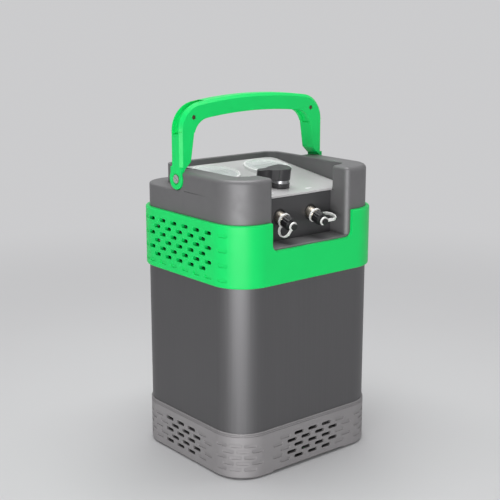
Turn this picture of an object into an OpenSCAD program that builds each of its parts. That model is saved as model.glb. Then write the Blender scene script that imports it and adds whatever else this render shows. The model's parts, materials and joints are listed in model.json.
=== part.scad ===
// Portable refrigerant recovery machine with a folding carry handle.
// The service ports face -Y, the grilles with the handle pivots are on the two X sides.
// Origin: centre of the footprint, on the floor. All sizes are in millimetres.

/* [Body] */
// Width across the metal sleeve
sleeve_w = 257.6; // [254:0.2:262]
// Depth across the metal sleeve
sleeve_d = 229.6; // [227:0.2:234]
// Corner radius of the metal sleeve in plan
sleeve_r = 45; // [40:1:50]
// Thickness of the metal sleeve
sleeve_t = 1.5; // [1:0.1:1.6]
// How far the base stands out from the sleeve
base_proud = 1.8; // [1.2:0.2:2.4]
// How far the band stands out from the sleeve
band_proud = 4.4; // [3.6:0.2:5]
// How far the top housing sits in from the sleeve
top_inset = 1.4; // [1.3:0.1:2]
// Wall of the plastic mouldings
wall = 3; // [2.4:0.1:3.2]
// Clearance between pieces that are assembled into each other
fit_gap = 0.3; // [0.2:0.05:0.4]

/* [Heights] */
// Height of the skirt above the floor at the corners
skirt_z = 1.5; // [1:0.5:2.5]
// Underside of the base floor
floor_z = 7.5; // [7:0.5:9]
// Top of the base
base_z = 66.5; // [64:0.5:70]
// Bottom of the band
band_low_z = 268; // [264:0.5:270]
// Top of the band
band_top_z = 352; // [350:0.5:353]
// Ledge round the tray block
ledge_z = 384; // [383:0.5:385]
// Rim of the tray and tops of the front posts
rim_z = 410; // [408:0.5:414]

/* [Base grille] */
// Length of one slot
base_slot_l = 17.5; // [14:0.5:19]
// Height of one slot
base_slot_h = 4.7; // [4:0.1:5]
// Column pitch of the base bricks
base_pitch = 25.8; // [24.5:0.1:26.5]
// Row pitch of the base bricks
base_row = 8.5; // [8:0.1:8.8]
// Height of the lowest row
base_row_z = 15; // [14.5:0.5:16]
// Middle of the front grille across the width
base_grille_x = 5.5; // [0:0.5:8]
// Middle of the side grilles across the depth
base_grille_y = 13; // [4:0.5:14]
// Depth of a blind brick
dimple = 1.2; // [0.6:0.1:1.6]
// Height of the raised skirt between the corners
skirt_lift = 3; // [2:0.5:4]
// Half length of the raised skirt
skirt_half = 67; // [60:1:70]

/* [Band grille] */
// Length of one slot
vent_l = 14.5; // [12:0.5:17]
// Height of one slot
vent_h = 5; // [4:0.1:5.5]
// Column pitch
vent_pitch = 25.8; // [24.5:0.1:26]
// Row pitch
vent_row = 9.9; // [9:0.1:10]
// Height of the top row
vent_top_z = 338; // [336:0.5:339]
// Middle of the vents across the depth
vent_y = 5.8; // [0:0.2:8]
// Half width of the front notch
notch_half = 72.5; // [71:0.5:74]
// Bottom of the front notch
notch_z = 314; // [312:0.5:315]
// Corner radius of the front notch
notch_r = 9; // [6:0.5:11]

/* [Top tray] */
// Half width of the tray block
block_half = 101; // [100:0.5:102]
// Rear face of the tray block
block_rear = 87; // [84:0.5:88]
// Wall of the tray block
tray_wall = 4; // [3.5:0.1:4.4]
// Half width of the front recess
recess_half = 66; // [64:0.5:67]
// Floor of the front recess
recess_z = 316.5; // [316:0.5:318]
// Rear end of the front posts, inside the tray
post_back = -78; // [-79:0.5:-76]
// Rear end of the wings that flank the tray
wing_back = 20; // [18:0.5:21]
// Shoulder radius of the wings
wing_r = 10; // [8:0.5:12]
// Height of the seams on the sides of the wings
seam_h = 0.9; // [0.6:0.1:1.2]
// Depth of those seams at the handle
seam_d = 1.2; // [0.8:0.1:1.5]
// Rounding of the rim along the outside of the posts and wings
rim_round = 6; // [4:0.5:6.5]
// Rounding of the post tops along the front recess
post_round = 4; // [2:0.5:5]
// Rounding of the tray's inner edge
tray_round = 2; // [1:0.1:2.2]
// Slope of the control panel, in degrees
panel_tilt = 8; // [7.4:0.1:8.4]
// Front edge of the control panel
panel_y = -80.5; // [-82:0.5:-80]
// Height of the control panel at its front edge
panel_z = 378.4; // [378:0.1:379]
// Thickness of the control panel
panel_t = 3; // [2.4:0.1:3.2]

/* [Handle] */
// Handle pivot, measured across the depth
pivot_y = 17.5; // [17:0.1:19]
// Height of the handle pivot
pivot_z = 398.6; // [398.5:0.1:399.5]
// Radius of the pivot boss
boss_r = 14.2; // [12:0.1:14.2]
// Top of the handle
handle_top = 507; // [500:1:515]
// How far the handle stands out from the top housing on each side
handle_out = 1.1; // [0.8:0.1:1.4]
// Depth of the handle, front to back
handle_d = 24; // [22:0.5:24.5]
// Thickness of the grip bar
bar_t = 23; // [20:0.5:25]
// Thickness of the upper arms
arm_t = 23; // [21:0.5:24]
// Thickness of the arms where they step in to the feet
shoulder_t = 17; // [14:0.5:18]
// Height over the pivot of that step
shoulder_h = 23; // [21:0.5:25]
// Height over the pivot where the arms reach their full thickness
taper_h = 62; // [54:1:64]
// Thickness of the arms at the pivots
foot_t = 6.2; // [5.8:0.1:6.6]
// Clearance of the pockets round the feet of the handle
pocket_gap = 1.3; // [1.1:0.1:1.5]
// Chamfer along the outer edges of the handle
handle_bevel = 4; // [3:0.5:4]
// Outer bend radius
bend_r = 38; // [34:1:42]
// Radius of the crowned grip bar
crown_r = 700; // [500:10:1200]
// Width of the channel in the outer face of the bends
channel_w = 13; // [11:0.5:14]
// Depth of that channel
channel_d = 6; // [5:0.5:7]
// Radius of the pivot screw shoulder
shoulder_r = 4; // [3.5:0.1:4.5]
// Running clearance on radius of turning pieces
run_gap = 0.05; // [0.03:0.01:0.08]

/* [Gauges] */
// Sideways distance of each gauge from the middle
gauge_x = 47.5; // [42:0.5:52]
// Gauge centre across the depth
gauge_y = 35; // [30:0.5:38]
// Outer radius of the bezel
bezel_r = 35.5; // [32:0.5:38]
// Width of the bezel ring
bezel_w = 4.5; // [3.5:0.1:5]
// Height of the bezel over the panel
bezel_h = 4; // [3.2:0.1:5]
// Depth of the gauge case under the panel
gauge_depth = 30; // [24:1:32]
// Width of the display window
display_w = 38; // [30:1:40]
// Height of the display window
display_h = 19; // [14:1:20]

/* [Selector] */
// Knob centre across the depth
knob_y = -47; // [-48:0.5:-44]
// Radius of the knob skirt
knob_r = 14; // [12:0.5:15]
// Height of the knob skirt
knob_skirt_h = 7; // [6:0.5:8]
// Height of the trim ring
knob_ring_h = 4.5; // [3:0.5:5]
// Total height of the knob
knob_h = 28; // [24:0.5:29]
// Reach of the pointer from the knob centre
pointer_l = 34; // [26:1:36]
// Direction of the pointer at rest, in degrees from +X
pointer_angle = 160; // [90:5:180]
// Fall of the grip's top towards the pointer's tip, in degrees
pointer_fall = 7; // [4:0.5:9]
// Radius of the valve stem
stem_r = 4; // [3:0.5:5]

/* [Ports] */
// Sideways distance of each port from the middle
port_x = 28; // [26:0.5:30]
// Height of the ports on the port plate
port_z = 349; // [348:0.5:350]
// Downward tilt of the ports, in degrees
port_tilt = 17; // [15:0.5:18]
// Width of the rubber grommet round each fitting
grommet_w = 3; // [2:0.5:4]
// Radius of the fitting barrel
barrel_r = 8; // [7.5:0.1:8.5]
// Length of the barrel in front of the port plate
barrel_l = 12; // [11:0.5:13]
// Outer radius of the flare thread
thread_r = 5.556; // [5.5:0.001:5.6]
// Length of the flare thread
thread_l = 11; // [9:0.5:12]
// Radius of the through bore
port_bore_r = 2.4; // [2:0.1:3]
// Outer radius of the screw cap
cap_r = 9; // [8.5:0.1:9.5]
// Length of the screw cap
cap_l = 13.5; // [12.5:0.5:14]
// Radius of the cap nose
nose_r = 3.6; // [3:0.1:4]
// Length of the cap nose
nose_l = 6.5; // [6:0.5:7]
// Wall of the strap rings
strap_t = 2.2; // [1.6:0.1:2.4]
// Reach of the inlet strap from its port axis
inlet_reach = 20; // [20:0.5:24]
// Reach of the outlet strap from its port axis
outlet_reach = 27; // [20:0.5:30]

/* [Power entry] */
// Height of the power entry on the rear of the sleeve
power_z = 220; // [200:1:230]
// Sideways place of the inlet
inlet_x = 30; // [28:1:40]
// Sideways place of the rocker switch
switch_x = -30; // [-40:1:-28]
// Length of the rocker
rocker_l = 21; // [18:0.5:22]
// Width of the rocker
rocker_w = 14; // [12:0.5:15]
// Radius of the rocker's pins
rocker_pin_r = 1.5; // [1.2:0.1:1.6]
// Tilt of the rocker to each side, in degrees
rocker_tilt = 9; // [6:0.5:10]

/* [Works] */
// Height of the motor shaft
shaft_z = 92; // [90:1:96]
// Place of the motor shaft across the depth
shaft_y = 10; // [6:1:14]
// Radius of the motor shaft
shaft_r = 8; // [7:0.5:9]
// Outer radius of the motor can
can_r = 50; // [46:1:54]
// Radius of the rotor
rotor_r = 30; // [26:0.5:32]
// Air gap of the motor
air_gap = 0.6; // [0.5:0.1:1]
// Radius of the fan over its blades
fan_r = 52; // [46:1:53]
// Number of fan blades
blade_count = 7; // [5:1:9]
// Radius of the copper pipes
pipe_r = 3.2; // [2.5:0.1:3.5]

/* [Hidden] */
$fn = 96;

// Colours
leaf = [0.12, 0.80, 0.36];
sleeve_grey = [0.38, 0.38, 0.40];
base_grey = [0.56, 0.55, 0.56];
top_grey = [0.44, 0.43, 0.45];
panel_grey = [0.70, 0.70, 0.71];
dark = [0.12, 0.12, 0.13];
pale = [0.86, 0.86, 0.86];
steel = [0.72, 0.73, 0.75];
brass = [0.80, 0.70, 0.52];
copper = [0.80, 0.48, 0.30];
cast_alu = [0.66, 0.67, 0.69];
board_green = [0.08, 0.32, 0.20];

// Outer sizes of the stacked rings
base_w = sleeve_w + 2 * base_proud;
base_d = sleeve_d + 2 * base_proud;
base_r = sleeve_r + base_proud;
band_w = sleeve_w + 2 * band_proud;
band_d = sleeve_d + 2 * band_proud;
band_r = sleeve_r + band_proud;
top_w = sleeve_w - 2 * top_inset;
top_d = sleeve_d - 2 * top_inset;
top_r = sleeve_r - top_inset;
over = 1;

// Base
base_wall = wall + 0.5;
floor_top = floor_z + wall;
lip_h = 10;
bead_z = base_z - 5;
bead_h = 0.9;
bead_step = 2.5;
foot_x = base_w / 2 - 44;
foot_y = base_d / 2 - 44;
foot_r = 12;
foot_screw_r = 2;
foot_head_r = 4.5;
rod_x = sleeve_w / 2 - 21;
rod_y = sleeve_d / 2 - 21;
rod_r = 2.5;
rod_boss_r = 6;

// Band and top
sleeve_top = band_low_z + 6;
skirt_low = band_top_z - 6;
notch_flange = 9;
tray_half = block_half - tray_wall;
tray_rear = block_rear - tray_wall;
tray_r = 14;
block_r = tray_r + tray_wall;
post_r = 10;
post_edge_r = 8;
shelf_t = 3;
shelf_in = 5;
vent_rows = 6;
vent_cols = 6;

// Handle
handle_y0 = pivot_y - handle_d / 2;
crown_z = handle_top - crown_r;
handle_half = top_w / 2 + handle_out;
arm_in = handle_half - arm_t;
shoulder_in = handle_half - shoulder_t;
step_z = rim_z + pocket_gap;
channel_low = pivot_z + 60;
channel_x = 84;
bush_r = shoulder_r + 2;
foot_in = handle_half - foot_t;
screw_x = handle_half - 23;
screw_z = handle_top - 26;
post_pin_r = 9;
pivot_thread_r = 3;
pivot_end = tray_half + 1.4;
head_seat = 2;

// Ports: distances along the port axis from the port plate
collar_at = barrel_l - strap_t - 1;
cap_at = barrel_l + 0.6;
nose_at = cap_at + cap_l;
ring_at = nose_at + 1.6;
plate_t = 3;

// Works
isolator_x = base_w / 2 - 54.6;
isolator_y = base_d / 2 - 58.6;
chassis_z = floor_top + 12;
case_x0 = -74;
case_x1 = 2;
can_x1 = 102;
case_top = 146;
barrel_top = 186;
head_top = 212;
head_x = -38;
coil_x = -sleeve_w / 2 + 7;
coil_d = 22;
fan_x = coil_x + coil_d + 13;
fan_z = 286;
shroud_half = 58;
block_low = 338;
block_top = 371;
bonnet_l = 16;
bonnet_r = 9;

// A rounded rectangle built from squares and circles
module rounded_rect(w, d, r) {
    square([w - 2 * r, d], center = true);
    square([w, d - 2 * r], center = true);
    for (sx = [-1, 1], sy = [-1, 1])
        translate([sx * (w / 2 - r), sy * (d / 2 - r)])
            circle(r);
}

// A slab with a rounded rectangle outline
module slab(w, d, r, low, high) {
    translate([0, 0, low])
        linear_extrude(high - low)
            rounded_rect(w, d, r);
}

// A 2-D profile carried round a rounded rectangle; x of the profile is the way out
module carried_round(w, d, r) {
    for (i = [0:3]) {
        out = i % 2 == 0 ? w / 2 : d / 2;
        span = i % 2 == 0 ? d : w;
        rotate(90 * i) {
            translate([out, span / 2 - r, 0])
                rotate([90, 0, 0])
                    linear_extrude(span - 2 * r)
                        children();
            translate([out - r, span / 2 - r, 0])
                rotate_extrude(angle = 90)
                    translate([r, 0])
                        children();
        }
    }
}

// What is cut off a square corner at the origin to round it; the piece lies below and left of it
module round_bit(r) {
    difference() {
        translate([-r, -r])
            square(r + over);
        translate([-r, -r])
            circle(r);
    }
}

// What is cut away to round an upper (up = 1) or lower (up = -1) outer edge
module edge_cut(w, d, r, z, round, up) {
    carried_round(w, d, r)
        difference() {
            translate([-round, up > 0 ? z - round : z - over])
                square([round + over, round + over]);
            translate([-round, z - up * round])
                circle(round);
        }
}

// A slot outline with round ends, lying along x
module pill(l, h) {
    square([l - h, h], center = true);
    for (sx = [-1, 1])
        translate([sx * (l - h) / 2, 0])
            circle(h / 2);
}

// Stands a drawing up on the side of the body that faces the given turn, with y as height
module on_side(turn, out, depth) {
    rotate(turn)
        translate([out + over, 0, 0])
            rotate([90, 0, 90])
                translate([0, 0, -depth - over])
                    linear_extrude(depth + 2 * over)
                        children();
}

// A cylinder along X, from x0 to x1
module bar_x(x0, x1, r, y = 0, z = 0) {
    translate([x0, y, z])
        rotate([0, 90, 0])
            cylinder(r = r, h = x1 - x0);
}

// Two cylinders on the handle's pivot axis, one on each side, from x0 out to x1
module pivot_pair(x0, x1, r) {
    bar_x(x0, x1, r, pivot_y, pivot_z);
    bar_x(-x1, -x0, r, pivot_y, pivot_z);
}

// A cylinder along Y, from y0 to y1
module bar_y(y0, y1, r, x = 0, z = 0) {
    translate([x, y0, z])
        rotate([-90, 0, 0])
            cylinder(r = r, h = y1 - y0);
}

// Brick columns of one base row that are open, counted in pitches from the middle
function open_cols(row, wide) =
    row % 2 == 0 ? [for (k = [-1:1]) k] : [for (k = [0:wide - 1]) k + (wide == 4 ? -1.5 : -0.5)];

// Open slots of one side of the base
module base_open(shift, wide) {
    for (row = [0:4], k = open_cols(row, wide))
        translate([shift + k * base_pitch, base_row_z + row * base_row])
            pill(base_slot_l, base_slot_h);
}

// Blind bricks beside the open slots of one side of the base
module base_blind(shift, wide) {
    for (row = [0:4], s = [-1, 1])
        let (k = row % 2 == 0 ? 2 * s : 2.5 * s + (wide == 4 || s > 0 ? 0 : 1))
            translate([shift + k * base_pitch, base_row_z + row * base_row])
                pill(base_slot_l, base_slot_h);
}

// Blind bricks that continue round the corners of the base
module corner_bricks() {
    step = 26;
    for (i = [0:3]) {
        out = i % 2 == 0 ? base_w / 2 : base_d / 2;
        span = i % 2 == 0 ? base_d : base_w;
        rotate(90 * i)
            translate([out - base_r, span / 2 - base_r, 0])
                for (k = [0:5])
                    rotate(45 + (k - 2.5) * step / 2)
                        on_side(0, base_r - dimple, 0)
                            for (row = [(k % 2):2:4])
                                translate([0, base_row_z + row * base_row])
                                    pill(base_slot_l, base_slot_h);
    }
}

module base_tray() {
    color(base_grey)
        difference() {
            union() {
                difference() {
                    slab(base_w, base_d, base_r, skirt_z, base_z);
                    base_inside(floor_top, base_z + over);
                    base_inside(0, floor_z);
                }
                base_lip();
                for (sx = [-1, 1], sy = [-1, 1]) {
                    translate([sx * rod_x, sy * rod_y, floor_top - over])
                        cylinder(r = rod_boss_r, h = 10);
                    translate([sx * foot_x, sy * foot_y, floor_top - over])
                        cylinder(r = rod_boss_r, h = 8);
                }
            }
            edge_cut(base_w, base_d, base_r, skirt_z, 3, -1);
            edge_cut(base_w, base_d, base_r, base_z, 1.2, 1);
            // Two bead lines under the top edge
            for (i = [0, 1])
                carried_round(base_w, base_d, base_r)
                    translate([-0.8, bead_z + i * bead_step])
                        square([0.8 + over, bead_h]);
            // Raised skirt at the front and rear
            translate([-skirt_half, -base_d / 2 - over, 0])
                cube([2 * skirt_half, base_d + 2 * over, skirt_z + skirt_lift]);
            // Open slots: front and rear have four columns, the sides three
            on_side(-90, base_d / 2, base_wall)
                base_open(base_grille_x, 4);
            on_side(90, base_d / 2, base_wall)
                base_open(-base_grille_x, 4);
            on_side(180, base_w / 2, base_wall)
                base_open(-base_grille_y, 3);
            on_side(0, base_w / 2, base_wall)
                mirror([1, 0])
                    base_open(-base_grille_y, 3);
            // Blind bricks
            on_side(-90, base_d / 2 - dimple, 0)
                base_blind(base_grille_x, 4);
            on_side(90, base_d / 2 - dimple, 0)
                base_blind(-base_grille_x, 4);
            on_side(180, base_w / 2 - dimple, 0)
                base_blind(-base_grille_y, 3);
            on_side(0, base_w / 2 - dimple, 0)
                mirror([1, 0])
                    base_blind(-base_grille_y, 3);
            corner_bricks();
            for (sx = [-1, 1], sy = [-1, 1]) {
                translate([sx * rod_x, sy * rod_y, floor_z - over])
                    cylinder(r = rod_r + fit_gap, h = 20);
                translate([sx * foot_x, sy * foot_y, floor_z - over])
                    cylinder(r = foot_screw_r + run_gap, h = 8);
            }
        }
}

// Space inside the base wall between two heights
module base_inside(low, high) {
    slab(base_w - 2 * base_wall, base_d - 2 * base_wall, base_r - base_wall, low, high);
}

// Lip that locates the sleeve on the base
module base_lip() {
    out = sleeve_t + fit_gap;
    difference() {
        union() {
            slab(sleeve_w - 2 * out, sleeve_d - 2 * out, sleeve_r - out, base_z - 6, base_z + lip_h);
            slab(base_w - 2 * wall, base_d - 2 * wall, base_r - wall, base_z - 6, base_z - 1.5);
        }
        slab(sleeve_w - 2 * out - 2 * wall, sleeve_d - 2 * out - 2 * wall, sleeve_r - out - wall,
            base_z - 7, base_z + lip_h + over);
    }
}

module rubber_feet() {
    color(dark)
        for (sx = [-1, 1], sy = [-1, 1])
            translate([sx * foot_x, sy * foot_y, 0])
                difference() {
                    cylinder(r1 = foot_r - 1, r2 = foot_r, h = floor_z);
                    translate([0, 0, -over])
                        cylinder(r = foot_head_r + fit_gap, h = 3 + over);
                    cylinder(r = foot_screw_r + fit_gap, h = floor_z + over);
                }
}

module foot_screws() {
    color(steel)
        for (sx = [-1, 1], sy = [-1, 1])
            translate([sx * foot_x, sy * foot_y, 0]) {
                translate([0, 0, 0.8])
                    cylinder(r = foot_head_r, h = 2.2);
                translate([0, 0, 2])
                    cylinder(r = foot_screw_r, h = floor_z + 3);
            }
}

module sleeve() {
    color(sleeve_grey)
        difference() {
            slab(sleeve_w, sleeve_d, sleeve_r, base_z, sleeve_top);
            slab(sleeve_w - 2 * sleeve_t, sleeve_d - 2 * sleeve_t, sleeve_r - sleeve_t,
                base_z - over, sleeve_top + over);
            // Openings for the power entry at the rear
            translate([inlet_x - 14, 0, power_z - 10.5])
                cube([28, sleeve_d, 21]);
            translate([switch_x - rocker_w / 2 - 2, 0, power_z - rocker_l / 2 - 2])
                cube([rocker_w + 4, sleeve_d, rocker_l + 4]);
            for (s = [-1, 1])
                bar_y(0, sleeve_d, 1.7, inlet_x + s * 20, power_z);
        }
}

// Open slots of one side of the band
module vent_open() {
    for (row = [0:vent_rows - 1], k = [0:vent_cols - 1 - row % 2])
        translate([(k + (row % 2) / 2 - (vent_cols - 1) / 2) * vent_pitch, vent_top_z - row * vent_row])
            pill(vent_l, vent_h);
}

// Blind bricks under the open slots
module vent_blind() {
    for (k = [0:vent_cols - 1])
        translate([(k - (vent_cols - 1) / 2) * vent_pitch, vent_top_z - vent_rows * vent_row])
            pill(vent_l, vent_h);
}

// Blind bricks that run from the open slots onto the two corners of one side of the band
module vent_corner(side) {
    for (s = [-1, 1])
        translate([side * (band_w / 2 - band_r), s * (band_d / 2 - band_r), 0])
            rotate((side > 0 ? 0 : 180) + side * s * 19)
                on_side(0, band_r - dimple, 0)
                    for (row = [0:2:vent_rows])
                        translate([0, vent_top_z - row * vent_row])
                            pill(vent_l, vent_h);
}

module notch_outline(half, low, r) {
    translate([-half + r, low])
        square([2 * (half - r), 200]);
    translate([-half, low + r])
        square([2 * half, 200]);
    for (s = [-1, 1])
        translate([s * (half - r), low + r])
            circle(r);
}

module grille_band() {
    upper = fit_gap - top_inset;
    color(leaf)
        difference() {
            slab(band_w, band_d, band_r, band_low_z, band_top_z);
            slab(sleeve_w + 2 * fit_gap, sleeve_d + 2 * fit_gap, sleeve_r + fit_gap,
                band_low_z - over, sleeve_top + fit_gap);
            slab(sleeve_w + 2 * upper, sleeve_d + 2 * upper, sleeve_r + upper,
                band_low_z, band_top_z + over);
            edge_cut(band_w, band_d, band_r, band_low_z, 2.4, -1);
            edge_cut(band_w, band_d, band_r, band_top_z, 2.4, 1);
            // Front notch round the port recess
            on_side(-90, band_d / 2, 20)
                notch_outline(notch_half, notch_z, notch_r);
            on_side(180, band_w / 2, 10)
                translate([-vent_y, 0])
                    vent_open();
            on_side(0, band_w / 2, 10)
                translate([vent_y, 0])
                    vent_open();
            on_side(180, band_w / 2 - dimple, 0)
                translate([-vent_y, 0])
                    vent_blind();
            on_side(0, band_w / 2 - dimple, 0)
                translate([vent_y, 0])
                    vent_blind();
            vent_corner(-1);
            vent_corner(1);
        }
}

// Plan of the wings and front posts
module wing_outline() {
    intersection() {
        rounded_rect(top_w, top_d, top_r);
        translate([-top_w / 2, -top_d / 2])
            square([top_w, wing_back - wing_r + top_d / 2]);
    }
    translate([-top_w / 2 + wing_r, -top_d / 4])
        square([top_w - 2 * wing_r, wing_back + top_d / 4]);
    for (s = [-1, 1])
        translate([s * (top_w / 2 - wing_r), wing_back - wing_r])
            circle(wing_r);
}

// Plan of the tray block with its wings
module high_outline() {
    front = -top_d / 4;
    translate([0, (block_rear + front) / 2])
        rounded_rect(2 * block_half, block_rear - front, block_r);
    wing_outline();
}

// Plan of the open tray, drawn in by a clearance
module tray_outline(c) {
    half = tray_half - c;
    rear = tray_rear - c;
    low = post_back + c;
    mouth = recess_half - c;
    translate([0, (rear + low) / 2])
        rounded_rect(2 * half, rear - low, tray_r - c);
    translate([-mouth, -top_d / 2 - over])
        square([2 * mouth, low + top_d / 2 + 2 * over]);
    for (s = [-1, 1])
        difference() {
            translate([s * (mouth + post_r / 2 - over / 2), low - post_r / 2 + over / 2])
                square(post_r + over, center = true);
            translate([s * (mouth + post_r), low - post_r])
                circle(post_r);
        }
}

// Height of the panel surface at a place across the depth
function panel_at(y) = panel_z + (y - panel_y) * tan(panel_tilt);

// Everything from a given distance above the panel surface upward
module above_panel(up) {
    translate([0, panel_y, panel_z])
        rotate([panel_tilt, 0, 0])
            translate([-150, -150, up])
                cube([300, 400, 120]);
}

// Puts a piece on the panel surface, with its z along the panel's normal
module on_panel(x, y) {
    translate([x, y, panel_at(y)])
        rotate([panel_tilt, 0, 0])
            children();
}

// Inside of the recess, from the port plate forward
module recess_space() {
    translate([-recess_half, -top_d / 2 - over, recess_z])
        cube([2 * recess_half, top_d / 2 + over + panel_y, rim_z - recess_z + over]);
    // Rounded front edges of the two posts
    mid = (post_edge_r - over) / 2;
    for (s = [-1, 1])
        translate([s * recess_half, -top_d / 2, recess_z])
            linear_extrude(rim_z - recess_z + over)
                difference() {
                    translate([s * mid, mid])
                        square(post_edge_r + over, center = true);
                    translate([s * post_edge_r, post_edge_r])
                        circle(post_edge_r);
                }
}

// Outer skin of the top housing
module top_skin() {
    difference() {
        slab(top_w, top_d, top_r, skirt_low, ledge_z);
        edge_cut(top_w, top_d, top_r, ledge_z, 2.4, 1);
    }
    difference() {
        translate([0, 0, skirt_low])
            linear_extrude(rim_z - skirt_low)
                high_outline();
        edge_cut(top_w, top_d, top_r, rim_z, rim_round, 1);
        foot_pockets();
    }
}

// Room in the wings for the feet of the handle to stand and fold back
module foot_pockets() {
    front = pivot_y - handle_d / 2 - pocket_gap;
    for (s = [-1, 1])
        translate([s > 0 ? foot_in - fit_gap : -foot_in + fit_gap - 20, 0, 0])
            rotate([90, 0, 90])
                linear_extrude(20)
                    intersection() {
                        union() {
                            translate([pivot_y, pivot_z])
                                circle(boss_r + pocket_gap);
                            translate([front, pivot_z])
                                square([60, 40]);
                            translate([pivot_y, ledge_z])
                                square([60, 60]);
                        }
                        translate([front - 10, ledge_z])
                            square([80, 60]);
                    }
}

// Seams on the sides of the wings at the height of the ledge, which fade out towards the corners
module seam_grooves() {
    side = top_w / 2;
    front = top_r - top_d / 2;
    back = pivot_y - boss_r - pocket_gap - over;
    for (s = [0, 1])
        mirror([s, 0, 0])
            translate([0, 0, ledge_z - seam_h / 2])
                linear_extrude(seam_h)
                    polygon([
                        [side + 0.4, front], [side - seam_d, back],
                        [side + over, back], [side + over, front]
                    ]);
}

// Rounding of the post tops along the recess and towards the tray
module post_rounding() {
    front_y = -top_d / 2 + post_edge_r;
    back_y = post_back - post_r;
    for (s = [0, 1])
        mirror([s, 0, 0]) {
            translate([recess_half + post_edge_r, front_y, rim_z])
                rotate(180)
                    rotate_extrude(angle = 90)
                        translate([post_edge_r, 0])
                            round_bit(post_round);
            translate([recess_half, front_y, rim_z])
                rotate([-90, 180, 0])
                    linear_extrude(back_y - front_y)
                        round_bit(post_round);
            translate([recess_half + post_r, back_y, rim_z])
                rotate(90)
                    rotate_extrude(angle = 90)
                        translate([post_r, 0])
                            round_bit(post_round);
            translate([recess_half + post_r, post_back, rim_z])
                rotate([90, 0, 90])
                    linear_extrude(tray_half - tray_r - recess_half - post_r)
                        round_bit(post_round);
        }
}

// Rounding of the tray's inner edge and of the front lip of the recess floor
module tray_rounding() {
    translate([0, (tray_rear + post_back) / 2, rim_z])
        carried_round(2 * tray_half, tray_rear - post_back, tray_r)
            mirror([1, 0])
                round_bit(tray_round);
    translate([-recess_half, -top_d / 2, recess_z])
        rotate([90, 0, 90])
            linear_extrude(2 * recess_half)
                mirror([1, 0])
                    round_bit(tray_round);
}

// Hollow under the ledge and inside the posts and wings
module top_hollow() {
    slab(top_w - 2 * wall, top_d - 2 * wall, top_r - wall, skirt_low - over, ledge_z - wall);
    inner = recess_half + wall + post_edge_r;
    for (s = [-1, 1])
        translate([0, 0, skirt_low])
            linear_extrude(rim_z - wall - skirt_low)
                intersection() {
                    rounded_rect(top_w - 2 * wall, top_d - 2 * wall, top_r - wall);
                    union() {
                        translate([s > 0 ? inner : -top_w, -top_d / 2])
                            square([top_w - inner, post_back - wall + top_d / 2]);
                        translate([s > 0 ? block_half : -top_w, -top_d / 2])
                            square([top_w - block_half, pivot_y - boss_r - pocket_gap - wall + top_d / 2]);
                    }
                }
}

// Walls that carry the panel and close the front recess
module tray_walls() {
    difference() {
        union() {
            translate([0, 0, panel_z - 12])
                linear_extrude(ledge_z - panel_z + 12)
                    intersection() {
                        high_outline();
                        union() {
                            translate([-block_half, post_back - wall])
                                square([2 * block_half, block_rear - post_back + wall]);
                            translate([0, post_back - 10])
                                square([2 * (recess_half + wall + post_r), 60], center = true);
                        }
                    }
            // Recess floor and cheeks
            translate([-recess_half - wall, -top_d / 2, recess_z - wall])
                cube([2 * (recess_half + wall), top_d / 2 + panel_y + plate_t, panel_z - recess_z + 8]);
            // Flange behind the band notch
            translate([-notch_half - notch_flange, -top_d / 2, notch_z - notch_flange])
                cube([2 * (notch_half + notch_flange), wall, band_top_z - notch_z + notch_flange]);
        }
        // Underside of the shelf, parallel to the panel
        difference() {
            translate([-150, panel_y + plate_t, 0])
                cube([300, 200, rim_z]);
            above_panel(-panel_t - shelf_t);
        }
    }
}

module top_housing() {
    color(top_grey)
        difference() {
            union() {
                difference() {
                    top_skin();
                    top_hollow();
                }
                tray_walls();
                // Pivot posts of the handle
                pivot_pair(tray_half + 1, foot_in - fit_gap - 0.5, post_pin_r);
                // Bosses for the tie rods
                for (sx = [-1, 1], sy = [-1, 1])
                    translate([sx * rod_x, sy * rod_y, skirt_low])
                        cylinder(r = rod_boss_r, h = (sy < 0 ? rim_z : ledge_z) - skirt_low - wall / 2);
            }
            // Open tray above the panel and its smaller opening below
            intersection() {
                translate([0, 0, panel_z - 20])
                    linear_extrude(rim_z - panel_z + 20 + over)
                        tray_outline(0);
                above_panel(-panel_t);
            }
            translate([0, 0, panel_z - 30])
                linear_extrude(rim_z)
                    intersection() {
                        tray_outline(shelf_in);
                        translate([-150, panel_y + plate_t])
                            square([300, 300]);
                    }
            recess_space();
            post_rounding();
            tray_rounding();
            seam_grooves();
            // Seat of the port plate
            translate([-recess_half, panel_y - over, recess_z])
                cube([2 * recess_half, plate_t + 2 * over, 100]);
            pivot_pair(pivot_end, foot_in, pivot_thread_r + run_gap);
            for (sx = [-1, 1], sy = [-1, 1])
                translate([sx * rod_x, sy * rod_y, skirt_low - over])
                    cylinder(r = rod_r + run_gap, h = 22);
        }
}

module control_panel() {
    color(panel_grey)
        difference() {
            intersection() {
                translate([0, 0, panel_z - 20])
                    linear_extrude(80)
                        intersection() {
                            tray_outline(fit_gap);
                            translate([-150, panel_y])
                                square([300, 300]);
                        }
                difference() {
                    above_panel(-panel_t);
                    above_panel(0);
                }
            }
            for (s = [-1, 1])
                on_panel(s * gauge_x, gauge_y)
                    translate([0, 0, -10])
                        cylinder(r = bezel_r - 2, h = 20);
            on_panel(0, knob_y)
                translate([0, 0, -10])
                    cylinder(r = stem_r + 2, h = 20);
        }
}

module port_plate() {
    color(top_grey)
        difference() {
            translate([-recess_half + fit_gap, panel_y, recess_z])
                cube([2 * (recess_half - fit_gap), plate_t, panel_z - panel_t - recess_z - 0.6]);
            for (s = [-1, 1])
                at_port(s)
                    translate([0, 0, -20])
                        cylinder(r = barrel_r + grommet_w, h = 40);
        }
}

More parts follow.
